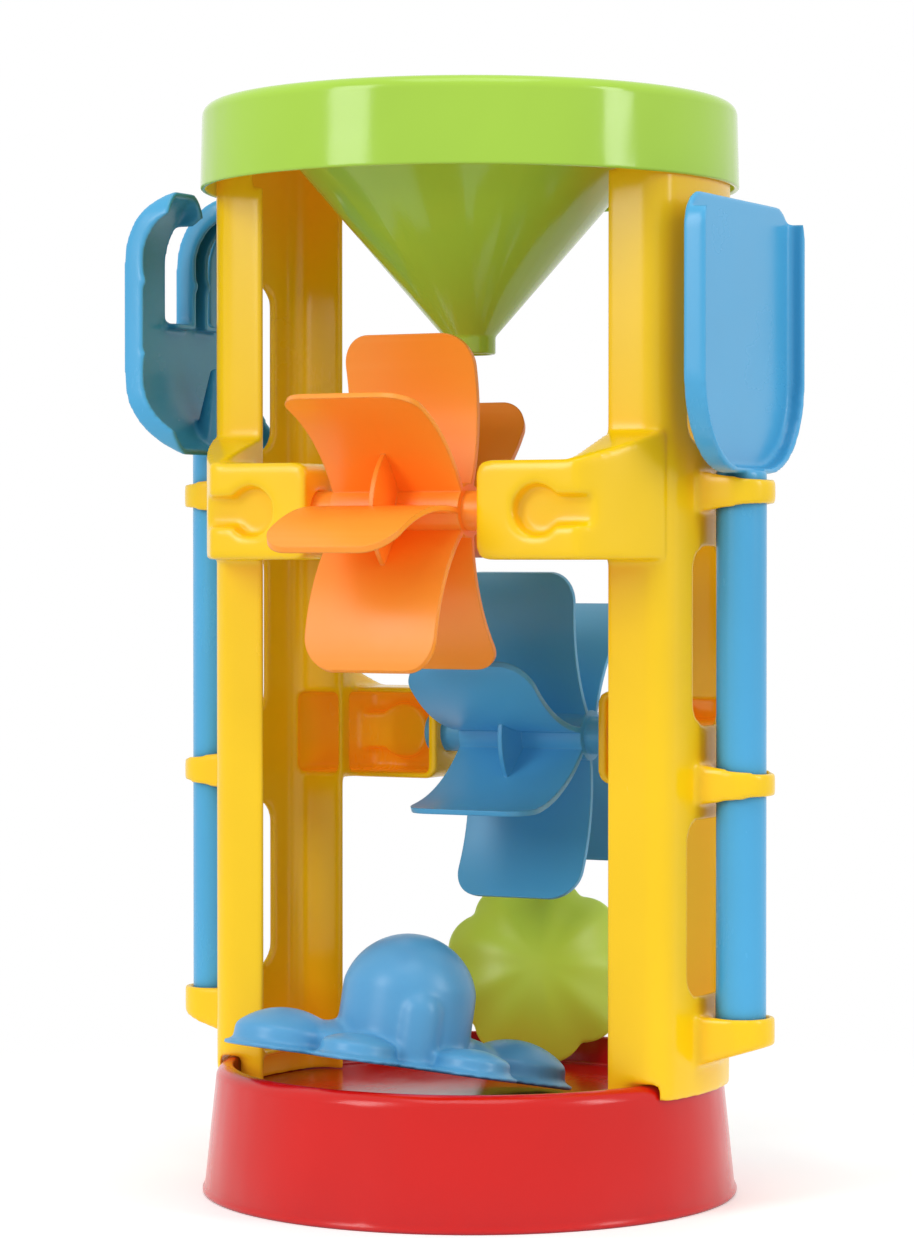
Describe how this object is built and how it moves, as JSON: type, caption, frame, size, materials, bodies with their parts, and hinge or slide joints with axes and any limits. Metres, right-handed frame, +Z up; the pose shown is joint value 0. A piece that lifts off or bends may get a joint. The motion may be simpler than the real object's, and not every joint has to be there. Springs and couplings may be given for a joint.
{
  "type": "sand wheel toy",
  "caption": "Plastic sand wheel tower with a funnel, paddle wheels, a catch tray, hand tools and sand moulds.",
  "frame": {"origin": "centre of the round base, on the surface that it stands on", "axes": "+Z up along the tower's axis, +X to the right pillar, -Y to the front with the upper wheel"},
  "size_m": [0.2168, 0.2008, 0.3545],
  "materials": {
    "red_plastic": "gloss",
    "yellow_plastic": "gloss",
    "lime_plastic": "gloss",
    "orange_plastic": "gloss",
    "blue_plastic": "gloss"
  },
  "bodies": {
    "tower": {"base_tray": "red_plastic", "left_pillar": "yellow_plastic", "right_pillar": "yellow_plastic", "funnel": "lime_plastic"},
    "upper_wheel": {"upper_wheel": "orange_plastic"},
    "lower_wheel": {"lower_wheel": "blue_plastic"},
    "shovel": {"shovel": "blue_plastic"},
    "rake": {"rake": "blue_plastic"},
    "creature_mould": {"creature_mould": "blue_plastic"},
    "shell_mould": {"shell_mould": "lime_plastic"}
  },
  "joints": [
    {"name": "upper_wheel_spin", "type": "hinge", "parent": "tower", "child": "upper_wheel", "pos_m": [0, -0.045, 0.222], "axis": [1, 0, 0], "continuous": true},
    {"name": "lower_wheel_spin", "type": "hinge", "parent": "tower", "child": "lower_wheel", "pos_m": [0, 0.045, 0.1474], "axis": [1, 0, 0], "continuous": true},
    {"name": "shovel_lift", "type": "slide", "parent": "tower", "child": "shovel", "axis": [0, 0, 1], "range_m": [0, 0.2]},
    {"name": "rake_lift", "type": "slide", "parent": "tower", "child": "rake", "axis": [0, 0, 1], "range_m": [0, 0.2]},
    {"name": "creature_mould_out", "type": "slide", "parent": "tower", "child": "creature_mould", "axis": [0, -0.8, 0.6], "range_m": [0, 0.1]},
    {"name": "shell_mould_out", "type": "slide", "parent": "tower", "child": "shell_mould", "axis": [-0.3632, 0.7128, 0.6], "range_m": [0, 0.08]}
  ]
}
